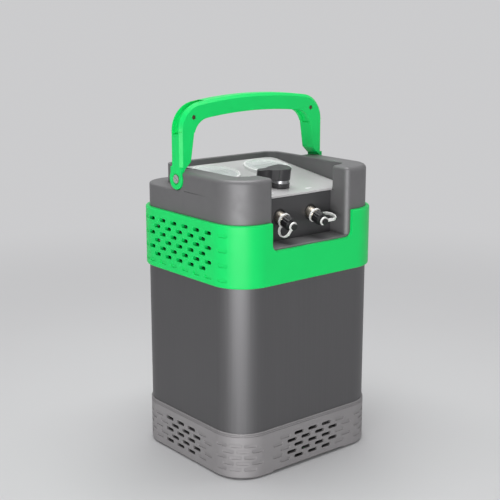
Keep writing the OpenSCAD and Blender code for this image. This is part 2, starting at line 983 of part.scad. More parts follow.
// Rubber rings that seal the fittings in the port plate
module port_grommets() {
    color(dark)
        for (s = [-1, 1])
            intersection() {
                at_port(s)
                    difference() {
                        translate([0, 0, -20])
                            cylinder(r = barrel_r + grommet_w - run_gap, h = 40);
                        translate([0, 0, -20 - over])
                            cylinder(r = barrel_r + run_gap, h = 40 + 2 * over);
                    }
                translate([-recess_half, panel_y + 0.5, recess_z])
                    cube([2 * recess_half, plate_t - 0.5, panel_z - recess_z]);
            }
}

// Front outline of an arch: a crowned bar that bends into two straight arms
module arch(half, corner, crown, low) {
    cx = half - corner;
    cz = crown_z + sqrt(pow(crown - corner, 2) - cx * cx);
    tx = cx * crown / (crown - corner);
    intersection() {
        translate([0, crown_z])
            circle(crown, $fn = 720);
        translate([-tx, low])
            square([2 * tx, handle_top + 10 - low]);
    }
    for (s = [-1, 1])
        translate([s * cx, cz])
            circle(corner);
    translate([-half, low])
        square([2 * half, cz - low]);
}

// Front outline of the whole handle: the arms taper and step in over each foot
module handle_outline() {
    difference() {
        arch(handle_half, bend_r, crown_r, pivot_z);
        arch(arm_in, bend_r - 12, crown_r - bar_t, pivot_z - 40);
        translate([-foot_in, pivot_z - 40])
            square([2 * foot_in, step_z - pivot_z + 40]);
        polygon([
            [-arm_in, pivot_z + taper_h], [arm_in, pivot_z + taper_h],
            [shoulder_in, pivot_z + shoulder_h], [foot_in, step_z],
            [-foot_in, step_z], [-shoulder_in, pivot_z + shoulder_h]
        ]);
    }
}

// Channels in the outer and inner faces of the two bends
module channel_outline() {
    intersection() {
        union() {
            difference() {
                arch(handle_half + over, bend_r + over, crown_r + over, channel_low);
                arch(handle_half - channel_d, bend_r - channel_d, crown_r - channel_d, channel_low - over);
            }
            difference() {
                arch(arm_in + channel_d / 2, bend_r - 12 + channel_d / 2, crown_r - bar_t + channel_d / 2,
                    channel_low);
                arch(arm_in - over, bend_r - 12 - over, crown_r - bar_t - over, channel_low - over);
            }
        }
        for (s = [-1, 1])
            translate([s * (channel_x + 50), channel_low + 40])
                square([100, 80], center = true);
    }
}

// Corner that the chamfer takes off: x is the way out from the outer face, y the depth from the front
module bevel_bit() {
    polygon([[-handle_bevel - over, -over], [over, -over], [over, handle_bevel + over]]);
}

// Chamfer along the outer edge of the handle's front face
module handle_chamfer() {
    cx = handle_half - bend_r;
    cz = crown_z + sqrt(pow(crown_r - bend_r, 2) - cx * cx);
    lean = asin(cx / (crown_r - bend_r));
    low = pivot_z + boss_r + 2;
    translate([0, handle_y0, crown_z])
        rotate([-90, 0, 0])
            rotate(-90 - lean)
                rotate_extrude(angle = 2 * lean)
                    translate([crown_r, 0])
                        bevel_bit();
    for (s = [0, 1])
        mirror([s, 0, 0]) {
            translate([cx, handle_y0, cz])
                rotate([-90, 0, 0])
                    rotate(lean - 90)
                        rotate_extrude(angle = 90 - lean)
                            translate([bend_r, 0])
                                bevel_bit();
            translate([handle_half, handle_y0, low])
                linear_extrude(cz - low)
                    bevel_bit();
        }
}

// One half of the handle: from y0 to y1, split on the plane of the pivots
module handle_half_shell(y0, y1) {
    difference() {
        union() {
            translate([0, y1, 0])
                rotate([90, 0, 0])
                    linear_extrude(y1 - y0)
                        handle_outline();
            intersection() {
                pivot_pair(foot_in, handle_half, boss_r);
                translate([-200, y0 < pivot_y - over ? y0 - 10 : pivot_y, pivot_z - 50])
                    cube([400, y1 - y0 + 10, 100]);
            }
        }
        translate([0, pivot_y + channel_w / 2, 0])
            rotate([90, 0, 0])
                linear_extrude(channel_w)
                    channel_outline();
        handle_chamfer();
        translate([0, 2 * pivot_y, 0])
            mirror([0, 1, 0])
                handle_chamfer();
        pivot_pair(foot_in - over, handle_half, bush_r);
        // Seats of the pivot screw heads
        pivot_pair(handle_half - head_seat, handle_half + over, bush_r + 1.5);
        for (s = [-1, 1])
            bar_y(0, handle_y0 + handle_d - 3, 1.6, s * screw_x, screw_z);
        for (s = [-1, 1])
            bar_y(0, handle_y0 + 2.2, 3.2, s * screw_x, screw_z);
    }
}

module handle_front() {
    color(leaf)
        handle_half_shell(handle_y0, pivot_y);
}

module handle_rear() {
    color(leaf)
        handle_half_shell(pivot_y, handle_y0 + handle_d);
}

module handle_screws() {
    color(steel)
        for (s = [-1, 1]) {
            bar_y(handle_y0 + 1, handle_y0 + 2.2, 3, s * screw_x, screw_z);
            bar_y(handle_y0 + 2, handle_y0 + handle_d - 4, 1.5, s * screw_x, screw_z);
        }
}

module pivot_bushes() {
    color(steel)
        difference() {
            pivot_pair(foot_in, handle_half - head_seat, bush_r);
            pivot_pair(foot_in - over, handle_half, shoulder_r + run_gap);
        }
}

// Slotted shoulder screws that carry the handle
module pivot_screws() {
    head_in = handle_half - head_seat + 0.4;
    head_out = handle_half + 0.2;
    color(steel)
        difference() {
            union() {
                pivot_pair(pivot_end + 0.5, foot_in, pivot_thread_r);
                pivot_pair(foot_in - fit_gap, head_in, shoulder_r);
                pivot_pair(head_in, head_out, bush_r);
            }
            for (s = [-1, 1])
                translate([s * head_out, pivot_y, pivot_z])
                    rotate([30, 0, 0])
                        cube([2, 20, 1.2], center = true);
        }
}

// Gauges: one module a piece, for the left (-1) and right (1) place
module gauge_case(s) {
    color(dark)
        on_panel(s * gauge_x, gauge_y) {
            difference() {
                translate([0, 0, -gauge_depth])
                    cylinder(r = bezel_r - bezel_w, h = gauge_depth + 0.4);
                translate([0, 0, -gauge_depth + 2])
                    cylinder(r = bezel_r - bezel_w - 2, h = gauge_depth + 2);
            }
            translate([0, 0, -gauge_depth - 6])
                cylinder(r = 5, h = 7);
        }
}

module gauge_bezel(s) {
    color(pale)
        on_panel(s * gauge_x, gauge_y)
            rotate_extrude()
                difference() {
                    union() {
                        translate([bezel_r - bezel_w, 0])
                            square([bezel_w, bezel_h - 1.4]);
                        translate([bezel_r - bezel_w, bezel_h - 1.5])
                            square([bezel_w - 1.4, 1.5]);
                        translate([bezel_r - 1.4, bezel_h - 1.4])
                            circle(1.4);
                    }
                    translate([bezel_r - bezel_w, bezel_h - 1.2])
                        rotate(-40)
                            square([1.6, 4], center = true);
                }
}

module gauge_face(s) {
    color(pale)
        on_panel(s * gauge_x, gauge_y)
            translate([0, 0, 0.4])
                difference() {
                    cylinder(r = bezel_r - bezel_w - 0.1, h = 1);
                    translate([0, 3, 0.6])
                        cube([display_w + 0.4, display_h + 0.4, 1], center = true);
                }
}

module gauge_display(s) {
    color([0.55, 0.62, 0.58])
        on_panel(s * gauge_x, gauge_y)
            translate([-display_w / 2, 3 - display_h / 2, 0.6])
                cube([display_w, display_h, 0.7]);
}

module gauge_lens(s) {
    color([0.9, 0.95, 1, 0.4])
        on_panel(s * gauge_x, gauge_y)
            translate([0, 0, 1.6])
                cylinder(r = bezel_r - bezel_w - 0.1, h = 1);
}

// Selector: pieces turn together about the panel's normal
module knob_place() {
    on_panel(0, knob_y)
        children();
}

module selector_knob() {
    grip_z = knob_skirt_h + knob_ring_h;
    color(dark)
        knob_place()
            difference() {
                union() {
                    translate([0, 0, 0.4])
                        cylinder(r = knob_r, h = knob_skirt_h - 0.4);
                    translate([0, 0, knob_skirt_h - over])
                        cylinder(r = knob_r - 2.4, h = knob_ring_h + 2 * over);
                    translate([0, 0, grip_z])
                        rotate(pointer_angle)
                            linear_extrude(knob_h - grip_z)
                                pointer_outline();
                }
                translate([0, 0, -over])
                    cylinder(r = stem_r + run_gap, h = knob_h - 4);
                // Top of the grip, which falls towards the tip
                rotate(pointer_angle)
                    translate([0, 0, knob_h])
                        rotate([0, pointer_fall, 0])
                            translate([0, -30, 0])
                                cube([60, 60, 20]);
            }
}

// Plan of the grip: a round hub that necks down into a pointer
module pointer_outline() {
    neck = 5;
    circle(knob_r);
    difference() {
        polygon([
            [0, knob_r], [pointer_l - 3, neck], [pointer_l, neck - 2.5],
            [pointer_l, 2.5 - neck], [pointer_l - 3, -neck], [0, -knob_r]
        ]);
        for (s = [-1, 1])
            translate([pointer_l - 8, s * (knob_r + neck)])
                circle(knob_r);
    }
}

module knob_ring() {
    color(panel_grey)
        knob_place()
            translate([0, 0, knob_skirt_h])
                difference() {
                    cylinder(r1 = knob_r - 0.4, r2 = knob_r - 1.2, h = knob_ring_h);
                    translate([0, 0, -over])
                        cylinder(r = knob_r - 2.4 + run_gap, h = knob_ring_h + 2 * over);
                }
}

module valve_stem() {
    color(steel)
        knob_place()
            translate([0, 0, -26])
                cylinder(r = stem_r, h = 26 + knob_h - 5);
}

module valve_bonnet() {
    color(brass)
        knob_place()
            difference() {
                translate([0, 0, -bonnet_l])
                    cylinder(r = bonnet_r, h = bonnet_l - panel_t - 0.4, $fn = 6);
                translate([0, 0, -40])
                    cylinder(r = stem_r + run_gap, h = 60);
            }
}

module manifold_block() {
    color(cast_alu)
        difference() {
            translate([-46, panel_y + 8, block_low])
                cube([92, 50, block_top - block_low]);
            for (s = [-1, 1])
                at_port(s)
                    translate([0, 0, -26])
                        cylinder(r = barrel_r + run_gap, h = 40);
            knob_place() {
                translate([0, 0, -30])
                    cylinder(r = stem_r + run_gap, h = 60);
                translate([0, 0, -bonnet_l])
                    cylinder(r = bonnet_r + fit_gap, h = 40);
            }
        }
}

// Port frame: z runs out along the port axis
module at_port(s) {
    translate([s * port_x, panel_y, port_z])
        rotate([90 + port_tilt, 0, 0])
            children();
}

module fitting(s) {
    color(brass)
        at_port(s)
            difference() {
                union() {
                    translate([0, 0, -22])
                        cylinder(r = barrel_r, h = 22 + barrel_l - 1);
                    translate([0, 0, barrel_l - 1])
                        cylinder(r1 = barrel_r, r2 = barrel_r - 1, h = 1);
                    translate([0, 0, barrel_l - over])
                        cylinder(r = thread_r, h = thread_l + over);
                }
                translate([0, 0, -30])
                    cylinder(r = port_bore_r, h = 60);
            }
}

module cap(s) {
    ribs = 16;
    color(dark)
        at_port(s)
            difference() {
                union() {
                    translate([0, 0, cap_at])
                        cylinder(r = cap_r - 0.6, h = cap_l - 2);
                    translate([0, 0, nose_at - 2])
                        cylinder(r1 = cap_r - 0.6, r2 = nose_r + 2, h = 2);
                    for (i = [0:ribs - 1])
                        rotate(360 / ribs * i)
                            translate([cap_r - 1, 0, cap_at])
                                cylinder(r = 0.9, h = cap_l - 3, $fn = 24);
                    translate([0, 0, nose_at - over])
                        cylinder(r = nose_r, h = nose_l + over);
                    translate([0, 0, nose_at + nose_l - 1.6])
                        cylinder(r1 = nose_r, r2 = nose_r + 1, h = 0.8);
                    translate([0, 0, nose_at + nose_l - 0.8])
                        cylinder(r = nose_r + 1, h = 0.8);
                }
                translate([0, 0, cap_at - over])
                    cylinder(r = thread_r + run_gap, h = thread_l + over + 0.4);
            }
}

// Ring at the end of the strap, held in the groove of the cap nose
module strap_ring(s) {
    color(pale)
        at_port(s)
            translate([0, 0, ring_at])
                difference() {
                    cylinder(r = nose_r + fit_gap + strap_t, h = strap_t);
                    translate([0, 0, -over])
                        cylinder(r = nose_r + fit_gap, h = strap_t + 2 * over);
                }
}

// A round rod along a list of points
module rod_along(points, r) {
    for (i = [0:len(points) - 2]) {
        d = points[i + 1] - points[i];
        translate(points[i])
            rotate([0, acos(d[2] / norm(d)), atan2(d[1], d[0])])
                cylinder(r = r, h = norm(d));
    }
    for (i = [1:1:len(points) - 2])
        translate(points[i])
            sphere(r);
}

// Strap from its collar on the barrel round a U bend to just short of the cap ring
// turn gives the way it stands out, reach how far
module strap(s, turn, reach) {
    rod = strap_t * 0.4;
    bend = (ring_at - collar_at) / 2;
    leg = reach - bend;
    low = collar_at + strap_t / 2;
    end = nose_r + strap_t + 2 * fit_gap;
    color(pale)
        at_port(s)
            rotate(turn) {
                translate([0, 0, collar_at])
                    difference() {
                        cylinder(r = barrel_r + strap_t, h = strap_t);
                        translate([0, 0, -over])
                            cylinder(r = barrel_r + run_gap, h = strap_t + 2 * over);
                    }
                bar_x(barrel_r + strap_t / 2, leg, rod, 0, low);
                bar_x(end, leg, rod, 0, low + 2 * bend);
                translate([leg, 0, low + bend])
                    rotate([90, 0, 0])
                        rotate(-90)
                            rotate_extrude(angle = 180)
                                translate([bend, 0])
                                    circle(rod);
            }
}

// Power entry on the rear of the sleeve
module power_inlet() {
    y = sleeve_d / 2;
    color(dark)
        difference() {
            union() {
                translate([inlet_x - 25, y, power_z - 12])
                    cube([50, 2.4, 24]);
                translate([inlet_x - 13.7, y - 20, power_z - 10.2])
                    cube([27.4, 21, 20.4]);
            }
            translate([inlet_x - 12, y - 15, power_z - 8.2])
                cube([24, 30, 16.4]);
            for (s = [-1, 1])
                bar_y(0, y + 20, 1.7, inlet_x + s * 20, power_z);
            for (p = [[-7, -3], [0, 1], [7, -3]])
                translate([inlet_x + p[0] - 1, y - 40, power_z + p[1] - 2])
                    cube([2, 30, 4]);
        }
}

module inlet_pins() {
    y = sleeve_d / 2;
    color(steel)
        for (p = [[-7, -3], [0, 1], [7, -3]])
            translate([inlet_x + p[0] - 1, y - 28, power_z + p[1] - 2])
                cube([2, 27, 4]);
}

module switch_frame() {
    y = sleeve_d / 2;
    w = rocker_w + 4;
    l = rocker_l + 4;
    color(dark)
        difference() {
            union() {
                translate([switch_x - w / 2 - 2, y, power_z - l / 2 - 2])
                    cube([w + 4, 1.8, l + 4]);
                translate([switch_x - w / 2 + 0.2, y - 16, power_z - l / 2 + 0.2])
                    cube([w - 0.4, 17, l - 0.4]);
            }
            translate([switch_x - rocker_w / 2 - 0.4, y - 14, power_z - rocker_l / 2 - 0.6])
                cube([rocker_w + 0.8, 30, rocker_l + 1.2]);
            // Sockets of the rocker's pins
            bar_x(switch_x - w, switch_x + w, rocker_pin_r + run_gap, y - 6, power_z);
        }
}

// Rocker drawn level, then tilted to its off side
module rocker() {
    y = sleeve_d / 2;
    color([0.75, 0.12, 0.10])
        translate([switch_x, y - 6, power_z])
            rotate([-rocker_tilt, 0, 0]) {
                rotate([0, -90, 0])
                    translate([0, 0, -rocker_w / 2])
                        linear_extrude(rocker_w)
                            polygon([
                                [-rocker_l / 2 + 0.9, 2], [-rocker_l / 2 + 0.9, 8.6], [0, 7.2],
                                [rocker_l / 2 - 0.9, 8.6], [rocker_l / 2 - 0.9, 2], [2, -5], [-2, -5]
                            ]);
                bar_x(-rocker_w / 2 - 1.2, rocker_w / 2 + 1.2, rocker_pin_r);
            }
}

module tie_rods() {
    color(steel)
        for (sx = [-1, 1], sy = [-1, 1])
            translate([sx * rod_x, sy * rod_y, floor_z - 3]) {
                cylinder(r = 4.5, h = 3);
                cylinder(r = rod_r, h = skirt_low + 18 - floor_z);
            }
}

module isolators() {
    color(dark)
        for (sx = [-1, 1], sy = [-1, 1])
            translate([sx * isolator_x, sy * isolator_y, floor_top])
                rotate_extrude()
                    polygon([[0, 0], [10, 0], [8, 6], [10, 12], [0, 12]]);
}

module chassis_plate() {
    color(steel)
        difference() {
            slab(2 * isolator_x + 38, 2 * isolator_y + 34, 10, chassis_z, chassis_z + 2.5);
            for (x = [-40, 50])
                translate([x, 0, chassis_z - over])
                    cylinder(r = 14, h = 5);
        }
}

module crankcase() {
    color(cast_alu)
        difference() {
            translate([case_x0, shaft_y - 44, chassis_z + 2.5])
                cube([case_x1 - case_x0, 88, case_top - chassis_z - 2.5]);
            bar_x(case_x0 + 8, case_x1 + over, 22, shaft_y, shaft_z);
            translate([head_x, shaft_y, shaft_z])
                cylinder(r = 22, h = 100);
            for (s = [-1, 1])
                translate([case_x0 - over, shaft_y + s * 46 - 5, chassis_z + 12])
                    cube([case_x1 - case_x0 + 2 * over, 10, case_top - chassis_z - 40]);
        }
}

module cylinder_barrel() {
    color(cast_alu)
        translate([head_x, shaft_y, case_top])
            difference() {
                union() {
                    cylinder(r = 26, h = barrel_top - case_top);
                    for (i = [0:4])
                        translate([0, 0, 2 + i * 8])
                            cylinder(r = 34, h = 3);
                }
                translate([0, 0, -over])
                    cylinder(r = 22, h = 60);
            }
}

module cylinder_head() {
    color(cast_alu)
        translate([head_x, shaft_y, barrel_top]) {
            cylinder(r = 34, h = 12);
            cylinder(r = 24, h = head_top - barrel_top);
            for (i = [0:5])
                rotate(60 * i)
                    translate([29, 0, 12 - over])
                        cylinder(r = 3.6, h = 4, $fn = 6);
        }
}

module motor_can() {
    color(dark)
        difference() {
            union() {
                bar_x(case_x1, can_x1, can_r, shaft_y, shaft_z);
                translate([case_x1 + 12, shaft_y - 34, chassis_z + 2.5])
                    cube([74, 68, 24]);
            }
            bar_x(case_x1 - over, can_x1 + over, can_r - 4, shaft_y, shaft_z);
        }
}

module stator() {
    color(copper)
        difference() {
            bar_x(case_x1 + 18, can_x1 - 16, can_r - 4 - run_gap, shaft_y, shaft_z);
            bar_x(case_x1, can_x1, rotor_r + air_gap, shaft_y, shaft_z);
        }
}

module motor_end_cap() {
    color(cast_alu)
        difference() {
            bar_x(can_x1, can_x1 + 8, can_r, shaft_y, shaft_z);
            bar_x(can_x1 - over, can_x1 + 6, shaft_r + 7, shaft_y, shaft_z);
        }
}

// Shaft with its rotor and a crank throw
module motor_shaft() {
    color(steel) {
        bar_x(case_x0 + 12, can_x1 + 5, shaft_r, shaft_y, shaft_z);
        bar_x(case_x1 + 20, can_x1 - 18, rotor_r, shaft_y, shaft_z);
        bar_x(head_x - 8, head_x + 8, shaft_r + 3, shaft_y, shaft_z + 5);
    }
}

module bearings() {
    color(steel)
        for (x = [[case_x1 - 11, 22], [can_x1 - 4, shaft_r + 7]])
            difference() {
                bar_x(x[0], x[0] + 10, x[1] - run_gap, shaft_y, shaft_z);
                bar_x(x[0] - over, x[0] + 11, shaft_r + run_gap, shaft_y, shaft_z);
            }
}

// Square frame with four struts that carry the fan motor
module fan_shroud() {
    color(dark)
        difference() {
            union() {
                difference() {
                    translate([fan_x - 13, -shroud_half, fan_z - shroud_half])
                        cube([26, 2 * shroud_half, 2 * shroud_half]);
                    bar_x(fan_x - 20, fan_x + 20, fan_r + 2, 0, fan_z);
                }
                for (a = [45:90:315])
                    translate([fan_x + 11, 0, fan_z])
                        rotate([a, 0, 0])
                            translate([0, (fan_r + 24) / 2, 0])
                                cube([4, fan_r - 14, 6], center = true);
                bar_x(fan_x + 9, fan_x + 13, 23, 0, fan_z);
            }
            bar_x(fan_x, fan_x + 20, 4, 0, fan_z);
        }
}

module fan_motor() {
    color(steel)
        difference() {
            bar_x(fan_x + 13, fan_x + 40, 22, 0, fan_z);
            bar_x(fan_x + 12, fan_x + 34, 3 + run_gap, 0, fan_z);
        }
}

module fan() {
    color(dark) {
        bar_x(fan_x - 11, fan_x + 6, 18, 0, fan_z);
        bar_x(fan_x + 5, fan_x + 32, 3, 0, fan_z);
        for (i = [0:blade_count - 1])
            translate([fan_x - 2.5, 0, fan_z])
                rotate([360 / blade_count * i, 0, 0])
                    translate([0, 0, (fan_r + 14) / 2])
                        rotate([0, 0, 34])
                            cube([1.8, 22, fan_r - 14], center = true);
    }
}

// Condenser: a finned block with the return bends of its tube
module condenser() {
    low = band_low_z + 8;
    high = skirt_low - 4;
    half = 70;
    fins = 18;
    pitch = 2 * half / fins;
    rows = 3;
    row_z = 20;
    color(cast_alu)
        for (i = [0:fins - 1])
            translate([coil_x, -half + (i + 0.5) * pitch, low])
                cube([coil_d, 1.2, high - low]);
    color(copper) {
        for (i = [0:rows - 1])
            bar_y(-half - 4, half + 4, 3.5, coil_x + coil_d / 2, low + 12 + i * row_z);
        for (i = [0:rows - 2])
            let (s = i % 2 == 0 ? 1 : -1)
                translate([coil_x + coil_d / 2, s * (half + 4), low + 12 + (i + 0.5) * row_z])
                    rotate([90, 0, 90])
                        rotate(s > 0 ? -90 : 90)
                            rotate_extrude(angle = 180)
                                translate([row_z / 2, 0])
                                    circle(3.5);
    }
}

module control_board() {
    x = sleeve_w / 2 - 16;
    color(board_green)
        translate([x, -52, 152])
            cube([1.6, 104, 88]);
    color(dark)
        for (y = [-30, -8])
            bar_x(x - 26, x, 9, y, 176);
    color(cast_alu)
        translate([x - 18, 12, 160])
            cube([18, 30, 60]);
    // Stand-offs on the sleeve
    color(steel)
        for (y = [-44, 44], z = [160, 232])
            bar_x(x + 1, sleeve_w / 2 - sleeve_t, 4, y, z);
}

module suction_pipe() {
    color(copper)
        rod_along([
            [-28, panel_y + 58, 350], [-28, -5, 350], [-28, -5, head_top]
        ], pipe_r);
}

module discharge_pipe() {
    x = coil_x + coil_d / 2;
    color(copper)
        rod_along([
            [head_x, shaft_y + 34, barrel_top + 6], [head_x, 70, barrel_top + 6], [x, 70, barrel_top + 6],
            [x, 70, band_low_z + 8]
        ], pipe_r);
}

module return_pipe() {
    x = coil_x + coil_d / 2;
    color(copper)
        rod_along([
            [x, -66, band_low_z + 8], [x, -66, band_low_z - 6],
            [port_x, -66, band_low_z - 6], [port_x, -66, block_low]
        ], pipe_r);
}

base_tray();
rubber_feet();
foot_screws();
sleeve();
grille_band();
top_housing();
control_panel();
port_plate();
handle_front();
handle_rear();
handle_screws();
pivot_screws();
pivot_bushes();
gauge_case(-1);  // gauge_case_left
gauge_case(1);  // gauge_case_right
gauge_bezel(-1);  // gauge_bezel_left
gauge_bezel(1);  // gauge_bezel_right
gauge_face(-1);  // gauge_face_left
gauge_face(1);  // gauge_face_right
gauge_display(-1);  // gauge_display_left
gauge_display(1);  // gauge_display_right
gauge_lens(-1);  // gauge_lens_left
gauge_lens(1);  // gauge_lens_right
selector_knob();
knob_ring();
valve_stem();
valve_bonnet();
manifold_block();
fitting(-1);  // inlet_fitting
fitting(1);  // outlet_fitting
cap(-1);  // inlet_cap
cap(1);  // outlet_cap
strap(-1, -114, inlet_reach);  // inlet_strap
strap(1, 0, outlet_reach);  // outlet_strap
strap_ring(-1);  // inlet_strap_ring
strap_ring(1);  // outlet_strap_ring
power_inlet();
inlet_pins();
switch_frame();
rocker();
tie_rods();
isolators();
chassis_plate();
crankcase();
cylinder_barrel();
cylinder_head();
motor_can();
stator();
motor_end_cap();
motor_shaft();
bearings();
fan_shroud();
fan_motor();
fan();
condenser();
control_board();
suction_pipe();
discharge_pipe();
return_pipe();
port_grommets();
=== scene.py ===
import json
import math

import bmesh
import bpy
from bpy.props import FloatProperty, FloatVectorProperty, IntProperty, PointerProperty
from mathutils import Matrix, Vector


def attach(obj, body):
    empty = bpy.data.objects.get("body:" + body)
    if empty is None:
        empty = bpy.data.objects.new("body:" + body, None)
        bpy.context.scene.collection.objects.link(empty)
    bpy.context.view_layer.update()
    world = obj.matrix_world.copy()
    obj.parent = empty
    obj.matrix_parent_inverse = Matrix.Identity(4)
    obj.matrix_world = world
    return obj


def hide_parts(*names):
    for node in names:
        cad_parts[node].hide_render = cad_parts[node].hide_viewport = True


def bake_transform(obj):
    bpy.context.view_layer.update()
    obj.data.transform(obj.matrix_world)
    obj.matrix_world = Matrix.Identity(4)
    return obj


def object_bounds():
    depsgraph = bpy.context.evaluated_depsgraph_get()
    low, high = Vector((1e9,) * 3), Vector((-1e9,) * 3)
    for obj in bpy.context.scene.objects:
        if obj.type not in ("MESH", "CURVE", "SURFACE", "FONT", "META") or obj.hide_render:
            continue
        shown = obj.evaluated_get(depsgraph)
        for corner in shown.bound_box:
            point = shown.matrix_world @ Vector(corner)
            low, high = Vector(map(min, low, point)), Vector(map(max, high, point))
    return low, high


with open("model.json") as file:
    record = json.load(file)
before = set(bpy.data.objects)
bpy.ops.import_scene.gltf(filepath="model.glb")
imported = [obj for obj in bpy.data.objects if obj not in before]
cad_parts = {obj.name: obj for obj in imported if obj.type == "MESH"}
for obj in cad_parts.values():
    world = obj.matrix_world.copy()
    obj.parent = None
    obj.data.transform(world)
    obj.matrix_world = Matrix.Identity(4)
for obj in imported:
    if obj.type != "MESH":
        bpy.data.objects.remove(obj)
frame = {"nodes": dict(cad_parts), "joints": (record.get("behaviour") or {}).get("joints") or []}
CAD_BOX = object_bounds()
NODES = frame["nodes"]
JOINTS = {joint["name"]: joint for joint in frame["joints"]}

bl_info = {
    "name": "Recovery Machine",
    "version": (1, 0, 0),
    "blender": (4, 5, 0),
    "location": "View3D > Sidebar > Recovery Machine",
    "description": "Dresses the packed refrigerant recovery machine and sets it in a plain studio",
    "category": "Object",
}

MM = 0.001
SIDES = ("left", "right")
PORTS = ("inlet", "outlet")
RIGHT = Vector((1.0, 0.0, 0.0))
WHITE = (1.0, 1.0, 1.0, 1.0)

# Noise values that count as lowest and highest in a finish
NOISE_LOW = 0.25
NOISE_HIGH = 0.75

# Waves a metre of the cloudiness and the uneven sheen of plastic
CLOUD_WAVES = 22.0
SHEEN_WAVES = 90.0

# Rounding of small CAD nodes
SAME_POINT = 0.005 * MM
FLAT_ANGLE = math.radians(0.4)
SHARP_ANGLE = math.radians(32.0)
EDGE_SEGMENTS = 3

# Points round a strap's section and a printed mark
SECTION_POINTS = 16
MARK_POINTS = 32

# Softboxes as name, setting with the power, place and size in metres
SOFTBOXES = (
    ("key_softbox", "key", (-1.43, -1.26, 0.18), (1.8, 0.32)),
    ("left_softbox", "left", (-2.00, 0.10, 0.90), (0.8, 1.4)),
    ("top_softbox", "top", (0.0, 0.1, 1.80), (1.3, 1.3)),
    ("right_fill", "fill", (1.7, -1.0, 0.8), (0.9, 1.3)),
)

# Floor, and the distances over which it runs out into the backdrop, in metres
FLOOR_RADIUS = 9.0
FLOOR_POINTS = 96
FADE_START = 0.35
FADE_END = 1.6
SENSOR_WIDTH = 36.0


# Settings that a user would change


def colour(name, description, default):
    """A colour setting."""
    return FloatVectorProperty(
        name=name,
        description=description,
        subtype="COLOR",
        size=4,
        min=0.0,
        max=1.0,
        default=(*default, 1.0),
    )


def length(name, description, default):
    """A length setting, given in millimetres and kept in metres."""
    return FloatProperty(
        name=name,
        description=description,
        subtype="DISTANCE",
        unit="LENGTH",
        min=0.0,
        precision=5,
        default=default * MM,
    )


def angle(name, description, default):
    """An angle setting, given in degrees."""
    return FloatProperty(name=name, description=description, subtype="ANGLE", default=math.radians(default))


def power(name, description, default):
    """A lamp's power in watts."""
    return FloatProperty(name=name, description=description, unit="POWER", min=0.0, default=default)


class FinishSettings(bpy.types.PropertyGroup):
    """Colours of the finishes."""

    leaf: colour("Leaf green", "Plastic of the band and the handle", (0.005, 0.620, 0.127))
    sleeve: colour("Sleeve", "Metallic paint of the sleeve", (0.130, 0.128, 0.132))
    base: colour("Base", "Textured plastic of the base", (0.270, 0.260, 0.265))
    housing: colour("Housing", "Satin plastic of the top housing", (0.158, 0.156, 0.160))
    recess: colour("Port plate", "Satin plastic of the port plate", (0.045, 0.044, 0.047))
    panel: colour("Panel", "Satin film of the control panel", (0.490, 0.483, 0.490))
    charcoal: colour("Charcoal", "Plastic of the knob", (0.040, 0.039, 0.042))
    black: colour("Black", "Plastic of the caps, cases, fan and power entry", (0.012, 0.012, 0.013))
    rubber: colour("Rubber", "Feet, grommets and isolators", (0.022, 0.022, 0.023))
    trim: colour("Trim ring", "Ring of the knob", (0.330, 0.330, 0.340))
    bezel: colour("Bezel", "Glossy rims of the gauges and pins of the inlet", (0.880, 0.880, 0.885))
    face: colour("Gauge face", "Printed faces of the gauges", (0.600, 0.600, 0.602))
    display: colour("Display", "Unlit display windows", (0.560, 0.580, 0.566))
    fitting: colour("Fitting", "Nickel washed brass of the ports", (0.780, 0.715, 0.610))
    strap: colour("Strap", "Soft plastic of the cap straps", (0.760, 0.755, 0.745))
    # Colour of the pale pills that the mark settings place on the panel over the ports
    mark: colour("Port marks", "Printed marks over the ports", (0.780, 0.780, 0.790))
    steel: colour("Steel", "Screws, bushes, rods and shafts", (0.600, 0.595, 0.580))
    burnt: colour("Burnished steel", "Joining screws of the handle", (0.120, 0.075, 0.050))
    cast: colour("Castings", "Cast aluminium of the compressor", (0.480, 0.485, 0.495))
    motor: colour("Motor", "Paint of the motor can", (0.035, 0.036, 0.040))
    copper: colour("Copper", "Pipes and windings", (0.640, 0.270, 0.140))
    board: colour("Board", "Solder mask of the control board", (0.015, 0.120, 0.045))
    rocker: colour("Rocker", "Rocker of the mains switch", (0.420, 0.012, 0.010))


class EdgeSettings(bpy.types.PropertyGroup):
    """Radii of the moulded and machined edges."""

    body: length("Body edges", "Soft edges of the band, base, housing and handle", 0.9)
    small: length("Small edges", "Rounding of knobs, caps and fittings", 0.35)
    fine: length("Fine edges", "Rounding of screws", 0.15)


class StrapSettings(bpy.types.PropertyGroup):
    """Sizes of the cap straps; distances along the port axis count from the port plate."""

    width: length("Width", "Width of the strap", 4.4)
    thick: length("Thickness", "Thickness of the strap", 2.0)
    collar: length("Collar", "Middle of the collar along the port axis", 9.9)
    collar_wide: length("Collar width", "Width of the collar", 2.6)
    collar_in: length("Collar bore", "Inner radius of the collar", 8.05)
    ring: length("Ring", "Middle of the cap ring along the port axis", 28.8)
    ring_out: length("Ring radius", "Outer radius of the cap ring", 6.1)
    inlet_reach: length("Inlet reach", "Distance of the inlet strap's bend from the port axis", 20.0)
    outlet_reach: length("Outlet reach", "Distance of the outlet strap's bend from the port axis", 27.0)
    inlet_turn: angle("Inlet turn", "Way the inlet strap stands out", -114.0)
    outlet_turn: angle("Outlet turn", "Way the outlet strap stands out", 0.0)
    steps: IntProperty(name="Steps", description="Rings of points round the bend", min=8, max=96, default=32)


class MarkSettings(bpy.types.PropertyGroup):
    """Sizes of the pale pill marks on the panel over the ports."""

    long: length("Length", "Length of a mark", 12.0)
    high: length("Height", "Height of a mark", 3.6)
    # Thickness of the pale pill marks
    thick: length("Thickness", "Thickness of the print", 0.12)
    aside: length("Aside", "Distance of a mark from the middle of the panel", 35.0)
    forward: length("Forward", "Distance of the marks in front of the knob", 22.0)


